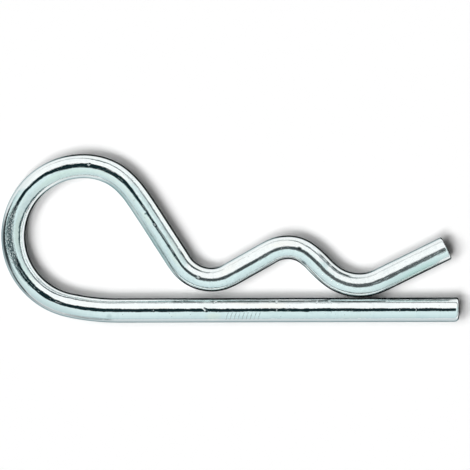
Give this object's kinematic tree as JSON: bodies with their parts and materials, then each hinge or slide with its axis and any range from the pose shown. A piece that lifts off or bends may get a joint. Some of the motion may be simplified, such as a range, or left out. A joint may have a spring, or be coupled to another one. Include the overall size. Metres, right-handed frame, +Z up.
{
  "type": "hitch clip pin",
  "caption": "Hitch clip bent from one round spring wire: a straight leg for the cross hole of a shaft, and a waved arm that snaps over the shaft's outside.",
  "frame": {"origin": "on the leg's axis straight under the arm's crest, where the axis of the shaft that the clip holds crosses the leg", "axes": "+X along the leg to its free tip, +Y from the leg to the arm, +Z up, square to the flat clip, along the shaft's axis"},
  "size_m": [0.0938, 0.0346, 0.005],
  "materials": {
    "zinc_plated_wire": "bright zinc plated spring steel, shiny, with fine lengthwise drawing marks and small nicks"
  },
  "bodies": {
    "root": {"clip_wire": "zinc_plated_wire"}
  },
  "joints": []
}
